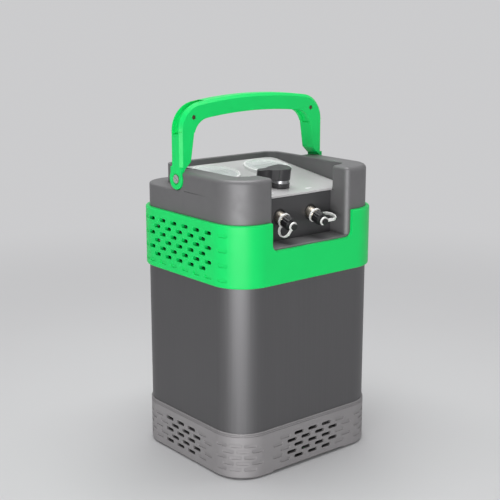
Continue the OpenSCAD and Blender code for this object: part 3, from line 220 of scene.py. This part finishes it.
class StageSettings(bpy.types.PropertyGroup):
    """Camera, lamps and floor."""

    camera: FloatVectorProperty(
        name="Camera",
        description="Place of the camera",
        subtype="TRANSLATION",
        unit="LENGTH",
        default=(-0.948, -1.142, 0.636),
    )
    azimuth: angle("Azimuth", "Way the camera looks, from +Y towards +X", 39.29)
    pitch: angle("Pitch", "Downward tilt of the camera", 13.33)
    lens: FloatProperty(name="Lens", description="Focal length", unit="CAMERA", default=76.58)
    key: power("Key lamp", "Power of the softbox beside the camera", 29.0)
    left: power("Left lamp", "Power of the softbox on the left", 1.5)
    top: power("Top lamp", "Power of the softbox overhead", 26.0)
    fill: power("Fill lamp", "Power of the fill on the right", 3.0)
    ambient: FloatProperty(name="Ambient", description="Strength of the light from all round", default=0.30)
    backdrop: colour("Backdrop", "Floor and backdrop", (0.60, 0.60, 0.61))


class MachineSettings(bpy.types.PropertyGroup):
    """All settings of the machine."""

    finish: PointerProperty(type=FinishSettings)
    edge: PointerProperty(type=EdgeSettings)
    strap: PointerProperty(type=StrapSettings)
    mark: PointerProperty(type=MarkSettings)
    stage: PointerProperty(type=StageSettings)


# Pieces of node trees


def start_material(name):
    """A new material with an output and a principled shader, and its object coordinates."""
    material = bpy.data.materials.new(name)
    material.use_nodes = True
    tree = material.node_tree
    tree.nodes.clear()
    shader = tree.nodes.new("ShaderNodeBsdfPrincipled")
    output = tree.nodes.new("ShaderNodeOutputMaterial")
    tree.links.new(shader.outputs[0], output.inputs[0])
    coords = tree.nodes.new("ShaderNodeTexCoord").outputs["Object"]
    return material, tree, shader, coords


def stretched(tree, coords, scale):
    """Coordinates scaled by three factors."""
    mapping = tree.nodes.new("ShaderNodeMapping")
    mapping.inputs["Scale"].default_value = scale
    tree.links.new(coords, mapping.inputs["Vector"])
    return mapping.outputs[0]


def noise(tree, coords, scale, detail=2.0, rough=0.5):
    """A noise value; scale is in waves a metre."""
    node = tree.nodes.new("ShaderNodeTexNoise")
    node.inputs["Scale"].default_value = scale
    node.inputs["Detail"].default_value = detail
    node.inputs["Roughness"].default_value = rough
    tree.links.new(coords, node.inputs["Vector"])
    return node.outputs["Fac"]


def spread(tree, value, low, high):
    """A noise value stretched over low to high."""
    node = tree.nodes.new("ShaderNodeMapRange")
    node.inputs["From Min"].default_value = NOISE_LOW
    node.inputs["From Max"].default_value = NOISE_HIGH
    node.inputs["To Min"].default_value = low
    node.inputs["To Max"].default_value = high
    tree.links.new(value, node.inputs["Value"])
    return node.outputs[0]


def tinted(tree, value, base, vary):
    """A colour that runs from a darker to a lighter shade of base with a value."""
    ramp = tree.nodes.new("ShaderNodeValToRGB")
    dark, light = ramp.color_ramp.elements
    dark.position = NOISE_LOW
    light.position = NOISE_HIGH
    dark.color = [c * (1 - vary) for c in base[:3]] + [1.0]
    light.color = [min(1.0, c * (1 + vary)) for c in base[:3]] + [1.0]
    tree.links.new(value, ramp.inputs[0])
    return ramp.outputs[0]


def bumped(tree, shader, value, depth, edge=0.0):
    """Raises the surface of a shader by a value and softens its edges; depth and edge are in metres."""
    node = tree.nodes.new("ShaderNodeBump")
    node.inputs["Distance"].default_value = depth
    tree.links.new(value, node.inputs["Height"])
    if edge > 0.0:
        soft = tree.nodes.new("ShaderNodeBevel")
        soft.samples = 6
        soft.inputs["Radius"].default_value = edge
        tree.links.new(soft.outputs[0], node.inputs["Normal"])
    tree.links.new(node.outputs[0], shader.inputs["Normal"])


def joined(tree, operation, first, second):
    """Two values joined by an operation of the math node."""
    node = tree.nodes.new("ShaderNodeMath")
    node.operation = operation
    tree.links.new(first, node.inputs[0])
    tree.links.new(second, node.inputs[1])
    return node.outputs[0]


def mixed(tree, share, first, second):
    """A shader that runs from the first to the second with a share."""
    node = tree.nodes.new("ShaderNodeMixShader")
    tree.links.new(share, node.inputs[0])
    tree.links.new(first, node.inputs[1])
    tree.links.new(second, node.inputs[2])
    return node.outputs[0]


# Finishes


def moulded(
    name, base, rough, grain=1500.0, depth=0.03 * MM, vary=0.035, specular=0.5, edge=0.0, metallic=0.0
):
    """Moulded plastic with a fine grain and a faint cloudiness; metallic is its share of metal flakes."""
    material, tree, shader, coords = start_material(name)
    clouds = noise(tree, coords, CLOUD_WAVES, 3.0)
    sheen = noise(tree, coords, SHEEN_WAVES)
    tree.links.new(tinted(tree, clouds, base, vary), shader.inputs["Base Color"])
    tree.links.new(spread(tree, sheen, rough - 0.04, rough + 0.04), shader.inputs["Roughness"])
    shader.inputs["Specular IOR Level"].default_value = specular
    shader.inputs["Metallic"].default_value = metallic
    bumped(tree, shader, noise(tree, coords, grain, 2.0, 0.6), depth, edge)
    return material


def metal(name, base, rough, waves=(300.0, 300.0, 300.0), depth=0.01 * MM, vary=0.05):
    """Metal with fine tool marks; waves stretches them along one way."""
    material, tree, shader, coords = start_material(name)
    marks = noise(tree, stretched(tree, coords, waves), 1.0, 3.0)
    tree.links.new(tinted(tree, marks, base, vary), shader.inputs["Base Color"])
    tree.links.new(spread(tree, marks, rough - 0.05, rough + 0.05), shader.inputs["Roughness"])
    shader.inputs["Metallic"].default_value = 1.0
    bumped(tree, shader, marks, depth)
    return material


def metallic_paint(name, base):
    """Satin metallic paint with fine flakes and faint upright streaks."""
    material, tree, shader, coords = start_material(name)
    streaks = noise(tree, stretched(tree, coords, (420.0, 420.0, 5.0)), 1.0, 2.0)
    tree.links.new(tinted(tree, streaks, base, 0.05), shader.inputs["Base Color"])
    tree.links.new(spread(tree, streaks, 0.46, 0.52), shader.inputs["Roughness"])
    shader.inputs["Metallic"].default_value = 0.9
    bumped(tree, shader, noise(tree, coords, 2600.0), 0.012 * MM)
    return material


def rubber(name, base):
    """Matt rubber with a slight bloom."""
    return moulded(name, base, 0.75, grain=700.0, depth=0.06 * MM, vary=0.12, specular=0.3)


def printed_face(name, base):
    """Printed card behind the gauge glass."""
    return moulded(name, base, 0.5, grain=2500.0, depth=0.008 * MM, vary=0.02)


def unlit_display(name, base):
    """Unlit liquid crystal window with its fine cell rows."""
    material, tree, shader, coords = start_material(name)
    rows = tree.nodes.new("ShaderNodeTexWave")
    rows.inputs["Scale"].default_value = 320.0
    tree.links.new(coords, rows.inputs["Vector"])
    tree.links.new(tinted(tree, rows.outputs["Fac"], base, 0.04), shader.inputs["Base Color"])
    tree.links.new(spread(tree, noise(tree, coords, 60.0), 0.18, 0.26), shader.inputs["Roughness"])
    return material


def clear_lens(name):
    """Clear gauge window with a faint smear of dust, which mirrors more at a flat glance."""
    material, tree, shader, coords = start_material(name)
    tree.nodes.remove(shader)
    through = tree.nodes.new("ShaderNodeBsdfTransparent")
    through.inputs["Color"].default_value = (0.97, 0.98, 0.98, 1.0)
    shine = tree.nodes.new("ShaderNodeBsdfGlossy")
    shine.inputs["Color"].default_value = WHITE
    tree.links.new(spread(tree, noise(tree, coords, 70.0, 4.0), 0.06, 0.14), shine.inputs["Roughness"])
    facing = tree.nodes.new("ShaderNodeLayerWeight")
    glance = tree.nodes.new("ShaderNodeMath")
    glance.operation = "POWER"
    glance.inputs[1].default_value = 9.0
    tree.links.new(facing.outputs["Facing"], glance.inputs[0])
    window = mixed(tree, glance.outputs[0], through.outputs[0], shine.outputs[0])
    tree.links.new(window, tree.get_output_node("ALL").inputs[0])
    return material


def dress(material, names):
    """Gives a material to CAD nodes."""
    for name in names:
        mesh = NODES[name].data
        mesh.materials.clear()
        mesh.materials.append(material)


# Edges of the small CAD nodes


def smooth_group():
    """Node group that shades every face smooth, made once."""
    name = "smooth_faces"
    if name in bpy.data.node_groups:
        return bpy.data.node_groups[name]
    group = bpy.data.node_groups.new(name, "GeometryNodeTree")
    group.interface.new_socket("Geometry", in_out="INPUT", socket_type="NodeSocketGeometry")
    group.interface.new_socket("Geometry", in_out="OUTPUT", socket_type="NodeSocketGeometry")
    start = group.nodes.new("NodeGroupInput")
    smooth = group.nodes.new("GeometryNodeSetShadeSmooth")
    end = group.nodes.new("NodeGroupOutput")
    group.links.new(start.outputs[0], smooth.inputs["Geometry"])
    group.links.new(smooth.outputs[0], end.inputs[0])
    return group


def soften(names, width):
    """Rounds the sharp edges of small CAD nodes with modifiers, so that they catch the light."""
    for name in names:
        piece = NODES[name]
        weld = piece.modifiers.new("join_faces", "WELD")
        weld.merge_threshold = SAME_POINT
        flat = piece.modifiers.new("flat_faces", "DECIMATE")
        flat.decimate_type = "DISSOLVE"
        flat.angle_limit = FLAT_ANGLE
        edge = piece.modifiers.new("round_edges", "BEVEL")
        edge.limit_method = "ANGLE"
        edge.angle_limit = SHARP_ANGLE
        edge.width = width
        edge.segments = EDGE_SEGMENTS
        edge.use_clamp_overlap = False
        smooth = piece.modifiers.new("smooth_faces", "NODES")
        smooth.node_group = smooth_group()
        piece.modifiers.new("even_normals", "WEIGHTED_NORMAL")


# New pieces


def add_piece(name, edit, material):
    """Makes an object of a finished bmesh, shaded smooth, with one material."""
    bmesh.ops.recalc_face_normals(edit, faces=edit.faces)
    mesh = bpy.data.meshes.new(name)
    edit.to_mesh(mesh)
    edit.free()
    mesh.shade_smooth()
    mesh.materials.append(material)
    piece = bpy.data.objects.new(name, mesh)
    bpy.context.scene.collection.objects.link(piece)
    return piece


def joint_frame(name):
    """Matrix of a joint's place: z runs out along its axis, x to the machine's right."""
    joint = JOINTS[name]
    out = Vector(joint["axis"])
    turn = Matrix((RIGHT, out.cross(RIGHT), out)).transposed()
    return Matrix.Translation(Vector(joint["pos_m"])) @ turn.to_4x4()


def join_rings(edit, rings, closed):
    """Skins rings of points; closed joins the last ring to the first, otherwise the two ends get caps."""
    count = len(rings[0])
    last = len(rings) if closed else len(rings) - 1
    for i in range(last):
        a, b = rings[i], rings[(i + 1) % len(rings)]
        for k in range(count):
            edit.faces.new((a[k], a[(k + 1) % count], b[(k + 1) % count], b[k]))
    if not closed:
        edit.faces.new(rings[0])
        edit.faces.new(rings[-1])


def soft_section(width, thick):
    """Points of a flat section with soft corners: x across the width, y across the thickness."""
    section = []
    for k in range(SECTION_POINTS):
        way = 2 * math.pi * (k + 0.5) / SECTION_POINTS
        c, s = math.cos(way), math.sin(way)
        x = math.copysign(abs(c) ** 0.5, c) * width / 2
        y = math.copysign(abs(s) ** 0.5, s) * thick / 2
        section.append((x, y))
    return section


def strap_line(strap, reach):
    """Centre line of a strap as (place, way along): a leg out, a U bend and a leg back to the ring."""
    bend = (strap.ring - strap.collar) / 2
    middle = Vector((reach - bend, 0.0, strap.collar + bend))
    line = [(Vector((strap.collar_in + strap.thick / 2, 0.0, strap.collar)), RIGHT)]
    for k in range(strap.steps + 1):
        way = math.pi * (k / strap.steps - 0.5)
        c, s = math.cos(way), math.sin(way)
        line.append((middle + bend * Vector((c, 0.0, s)), Vector((-s, 0.0, c))))
    line.append((Vector((strap.ring_out - strap.thick / 2, 0.0, strap.ring)), -RIGHT))
    return line


def build_strap(port, strap, material):
    """One strap with its collar, bent between the machine and the cap it holds."""
    axis = joint_frame(port + "_cap_turn")
    place = axis @ Matrix.Rotation(getattr(strap, port + "_turn"), 4, "Z")
    edit = bmesh.new()
    rings = []
    section = soft_section(strap.width, strap.thick)
    for point, along in strap_line(strap, getattr(strap, port + "_reach")):
        out = along.cross(Vector((0.0, 1.0, 0.0)))
        ring = [point + Vector((0.0, x, 0.0)) + out * y for x, y in section]
        rings.append([edit.verts.new(place @ v) for v in ring])
    join_rings(edit, rings, False)
    rings = []
    section = soft_section(strap.collar_wide, strap.thick)
    middle = strap.collar_in + strap.thick / 2
    for k in range(2 * strap.steps):
        turn = Matrix.Rotation(math.pi * k / strap.steps, 4, "Z")
        ring = [Vector((middle + y, 0.0, strap.collar + x)) for x, y in section]
        rings.append([edit.verts.new(place @ turn @ v) for v in ring])
    join_rings(edit, rings, True)
    piece = add_piece(port + "_strap_band", edit, material)
    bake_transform(piece)
    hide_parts(port + "_strap")


def build_mark(port, mark, material):
    """A thin pale pill on the panel over one port."""
    side = -1 if port == "inlet" else 1
    place = joint_frame("knob_turn") @ Matrix.Translation((side * mark.aside, -mark.forward, 0.0))
    half, radius = (mark.long - mark.high) / 2, mark.high / 2
    outline = []
    for k in range(MARK_POINTS):
        way = 2 * math.pi * (k + 0.5) / MARK_POINTS
        c, s = math.cos(way), math.sin(way)
        outline.append((math.copysign(half, c) + radius * c, radius * s))
    edit = bmesh.new()
    rings = []
    for z in (0.0, mark.thick):
        rings.append([edit.verts.new(place @ Vector((x, y, z))) for x, y in outline])
    join_rings(edit, rings, False)
    piece = add_piece(port + "_mark", edit, material)
    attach(piece, "machine")


# Operators


class MACHINE_OT_body(bpy.types.Operator):
    """Dresses the base, sleeve, band, housing and port plate"""

    bl_idname = "machine.body"
    bl_label = "Body"

    def execute(self, context):
        finish = context.scene.machine.finish
        edge = context.scene.machine.edge.body
        textured = moulded(
            "base_plastic",
            finish.base,
            0.55,
            grain=1100.0,
            depth=0.07 * MM,
            vary=0.05,
            specular=0.4,
            edge=edge,
            metallic=0.45,
        )
        satin = moulded(
            "housing_plastic", finish.housing, 0.55, grain=1300.0, depth=0.04 * MM, edge=edge, metallic=0.55
        )
        dress(textured, ["base_tray"])
        dress(metallic_paint("sleeve_paint", finish.sleeve), ["sleeve"])
        dress(moulded("leaf_plastic", finish.leaf, 0.38, specular=0.22, edge=edge), ["grille_band"])
        dress(satin, ["top_housing"])
        dress(moulded("recess_plastic", finish.recess, 0.42, grain=1300.0, depth=0.04 * MM), ["port_plate"])
        dress(rubber("grommet_rubber", finish.rubber), ["port_grommets"])
        return {"FINISHED"}


class MACHINE_OT_handle(bpy.types.Operator):
    """Dresses the folding handle with its screws and bushes"""

    bl_idname = "machine.handle"
    bl_label = "Handle"

    def execute(self, context):
        finish = context.scene.machine.finish
        edge = context.scene.machine.edge
        dress(bpy.data.materials["leaf_plastic"], ["handle_front", "handle_rear"])
        dress(metal("screw_steel", finish.steel, 0.30), ["pivot_screws", "pivot_bushes"])
        dress(metal("burnished_steel", finish.burnt, 0.40), ["handle_screws"])
        soften(["handle_screws", "pivot_screws"], edge.fine)
        return {"FINISHED"}


class MACHINE_OT_panel(bpy.types.Operator):
    """Dresses the control panel, the gauges and the selector knob"""

    bl_idname = "machine.panel"
    bl_label = "Panel, gauges and knob"

    def execute(self, context):
        settings = context.scene.machine
        finish, edge = settings.finish, settings.edge
        gloss = moulded("bezel_gloss", finish.bezel, 0.22, grain=900.0, depth=0.002 * MM, vary=0.02)
        dress(moulded("panel_film", finish.panel, 0.36, grain=1800.0), ["control_panel"])
        dress(gloss, ["gauge_bezel_" + s for s in SIDES])
        dress(printed_face("gauge_card", finish.face), ["gauge_face_" + s for s in SIDES])
        dress(unlit_display("gauge_display", finish.display), ["gauge_display_" + s for s in SIDES])
        dress(clear_lens("gauge_window"), ["gauge_lens_" + s for s in SIDES])
        dress(moulded("gauge_case", finish.black, 0.5), ["gauge_case_" + s for s in SIDES])
        dress(moulded("knob_plastic", finish.charcoal, 0.34, specular=0.35), ["selector_knob"])
        dress(metal("knob_trim", finish.trim, 0.34), ["knob_ring"])
        dress(metal("stem_steel", finish.steel, 0.30), ["valve_stem"])
        soften(["selector_knob"], 2 * edge.small)
        soften(["control_panel", "knob_ring"], edge.small)
        # Pale pills on the panel over the ports
        pale_finish = moulded("mark_ink", finish.mark, 0.45, grain=2500.0, depth=0.004 * MM, vary=0.03)
        for port in PORTS:
            build_mark(port, settings.mark, pale_finish)
        return {"FINISHED"}


class MACHINE_OT_ports(bpy.types.Operator):
    """Dresses the service ports and their caps, and builds the straps"""

    bl_idname = "machine.ports"
    bl_label = "Ports, caps and straps"

    def execute(self, context):
        settings = context.scene.machine
        finish, edge = settings.finish, settings.edge
        fittings = [port + "_fitting" for port in PORTS]
        caps = [port + "_cap" for port in PORTS]
        rings = [port + "_strap_ring" for port in PORTS]
        straps = [port + "_strap" for port in PORTS]
        dress(metal("fitting_nickel", finish.fitting, 0.34), fittings + ["valve_bonnet"])
        dress(moulded("cap_plastic", finish.black, 0.36, specular=0.3), caps)
        soft = moulded("strap_plastic", finish.strap, 0.30)
        dress(soft, rings + straps)
        soften(fittings + caps + rings, edge.small)
        for port in PORTS:
            build_strap(port, settings.strap, soft)
        return {"FINISHED"}


class MACHINE_OT_power(bpy.types.Operator):
    """Dresses the power inlet and the rocker switch on the rear"""

    bl_idname = "machine.power"
    bl_label = "Power entry"

    def execute(self, context):
        finish = context.scene.machine.finish
        edge = context.scene.machine.edge
        dress(moulded("entry_plastic", finish.black, 0.38), ["power_inlet", "switch_frame"])
        dress(metal("pin_steel", finish.bezel, 0.22), ["inlet_pins"])
        dress(moulded("rocker_plastic", finish.rocker, 0.22), ["rocker"])
        soften(["power_inlet", "switch_frame", "rocker"], edge.small)
        return {"FINISHED"}


class MACHINE_OT_works(bpy.types.Operator):
    """Dresses the feet, fasteners and the works inside the body"""

    bl_idname = "machine.works"
    bl_label = "Feet and works"

    def execute(self, context):
        finish = context.scene.machine.finish
        dress(rubber("foot_rubber", finish.rubber), ["rubber_feet", "isolators"])
        dress(
            metal("plain_steel", finish.steel, 0.34, waves=(200.0, 200.0, 60.0)),
            ["foot_screws", "tie_rods", "chassis_plate", "motor_shaft", "bearings", "fan_motor"],
        )
        dress(
            metal("cast_aluminium", finish.cast, 0.48, (500.0, 500.0, 500.0), depth=0.06 * MM, vary=0.08),
            ["manifold_block", "crankcase", "cylinder_barrel", "cylinder_head", "motor_end_cap", "condenser"],
        )
        dress(moulded("motor_paint", finish.motor, 0.45), ["motor_can"])
        dress(
            metal("copper", finish.copper, 0.32, waves=(90.0, 90.0, 90.0)),
            ["stator", "suction_pipe", "discharge_pipe", "return_pipe"],
        )
        dress(moulded("solder_mask", finish.board, 0.30), ["control_board"])
        dress(moulded("fan_plastic", finish.black, 0.50), ["fan_shroud", "fan"])
        return {"FINISHED"}


class MACHINE_OT_stage(bpy.types.Operator):
    """Makes the floor, the lamps and the camera"""

    bl_idname = "machine.stage"
    bl_label = "Stage"

    def execute(self, context):
        stage = context.scene.machine.stage
        self.backdrop(context, stage)
        self.floor(context, stage)
        for name, setting, place, size in SOFTBOXES:
            self.lamp(context, name, place, size, getattr(stage, setting))
        self.camera(context, stage)
        context.scene.view_settings.view_transform = "Standard"
        return {"FINISHED"}

    def camera(self, context, stage):
        """The camera of the main view."""
        data = bpy.data.cameras.new("camera")
        data.lens = stage.lens
        data.sensor_width = SENSOR_WIDTH
        camera = bpy.data.objects.new("camera", data)
        camera.location = stage.camera
        camera.rotation_euler = (math.pi / 2 - stage.pitch, 0.0, -stage.azimuth)
        context.scene.collection.objects.link(camera)
        context.scene.camera = camera

    def lamp(self, context, name, place, size, watts):
        """A softbox that looks at the middle of the machine."""
        data = bpy.data.lights.new(name, "AREA")
        data.shape = "RECTANGLE"
        data.size, data.size_y = size
        data.energy = watts
        lamp = bpy.data.objects.new(name, data)
        lamp.location = place
        lamp.visible_camera = False
        middle = (CAD_BOX[0] + CAD_BOX[1]) / 2
        lamp.rotation_euler = (middle - Vector(place)).to_track_quat("-Z", "Y").to_euler()
        context.scene.collection.objects.link(lamp)

    def seen(self, tree):
        """1 for what the camera sees directly, in a mirror or through glass."""
        path = tree.nodes.new("ShaderNodeLightPath")
        value = path.outputs["Is Camera Ray"]
        for name in ("Is Glossy Ray", "Is Transmission Ray"):
            value = joined(tree, "MAXIMUM", value, path.outputs[name])
        return value

    def backdrop(self, context, stage):
        """Even light from all round, and the backdrop's own colour where it is seen."""
        world = bpy.data.worlds.new("studio")
        context.scene.world = world
        world.use_nodes = True
        tree = world.node_tree
        tree.nodes.clear()
        light = tree.nodes.new("ShaderNodeBackground")
        light.inputs["Color"].default_value = WHITE
        light.inputs["Strength"].default_value = stage.ambient
        shown = tree.nodes.new("ShaderNodeBackground")
        shown.inputs["Color"].default_value = stage.backdrop
        shown.inputs["Strength"].default_value = 1.0
        output = tree.nodes.new("ShaderNodeOutputWorld")
        both = mixed(tree, self.seen(tree), light.outputs[0], shown.outputs[0])
        tree.links.new(both, output.inputs[0])

    def floor(self, context, stage):
        """A pale floor that runs out into the backdrop."""
        mesh = bpy.data.meshes.new("floor")
        edit = bmesh.new()
        bmesh.ops.create_circle(edit, cap_ends=True, segments=FLOOR_POINTS, radius=FLOOR_RADIUS)
        edit.to_mesh(mesh)
        edit.free()
        mesh.materials.append(self.floor_paint(stage))
        floor = bpy.data.objects.new("floor", mesh)
        context.scene.collection.objects.link(floor)

    def floor_paint(self, stage):
        """Matt paint that turns into the backdrop's colour away from the machine."""
        material, tree, shader, coords = start_material("floor_paint")
        clouds = noise(tree, coords, 3.0)
        tree.links.new(tinted(tree, clouds, stage.backdrop, 0.01), shader.inputs["Base Color"])
        shader.inputs["Roughness"].default_value = 0.8
        far = tree.nodes.new("ShaderNodeVectorMath")
        far.operation = "LENGTH"
        tree.links.new(coords, far.inputs[0])
        fade = tree.nodes.new("ShaderNodeMapRange")
        fade.interpolation_type = "SMOOTHSTEP"
        fade.inputs["From Min"].default_value = FADE_START
        fade.inputs["From Max"].default_value = FADE_END
        tree.links.new(far.outputs["Value"], fade.inputs["Value"])
        share = joined(tree, "MULTIPLY", fade.outputs[0], self.seen(tree))
        glow = tree.nodes.new("ShaderNodeEmission")
        glow.inputs["Color"].default_value = stage.backdrop
        glow.inputs["Strength"].default_value = 1.0
        both = mixed(tree, share, shader.outputs[0], glow.outputs[0])
        tree.links.new(both, tree.get_output_node("ALL").inputs[0])
        return material


STEPS = (
    MACHINE_OT_stage,
    MACHINE_OT_body,
    MACHINE_OT_handle,
    MACHINE_OT_panel,
    MACHINE_OT_ports,
    MACHINE_OT_power,
    MACHINE_OT_works,
)


class MACHINE_PT_sidebar(bpy.types.Panel):
    """Lists the steps and settings of the machine"""

    bl_idname = "MACHINE_PT_sidebar"
    bl_label = "Recovery Machine"
    bl_space_type = "VIEW_3D"
    bl_region_type = "UI"
    bl_category = "Recovery Machine"

    def draw(self, context):
        settings = context.scene.machine
        for step in STEPS:
            self.layout.operator(step.bl_idname)
        for group in (settings.finish, settings.edge, settings.strap, settings.mark, settings.stage):
            box = self.layout.box()
            box.label(text=type(group).__name__)
            for name in type(group).__annotations__:
                box.prop(group, name)


CLASSES = (
    FinishSettings,
    EdgeSettings,
    StrapSettings,
    MarkSettings,
    StageSettings,
    MachineSettings,
    *STEPS,
    MACHINE_PT_sidebar,
)


def register():
    """Registers the classes and hangs the settings on the scene."""
    for item in CLASSES:
        bpy.utils.register_class(item)
    bpy.types.Scene.machine = PointerProperty(type=MachineSettings)


def unregister():
    """Takes the settings and classes away again."""
    del bpy.types.Scene.machine
    for item in reversed(CLASSES):
        bpy.utils.unregister_class(item)


def main():
    """Builds the stage and dresses every piece."""
    register()
    for step in STEPS:
        group, name = step.bl_idname.split(".")
        getattr(getattr(bpy.ops, group), name)()


if __name__ == "__main__":
    main()
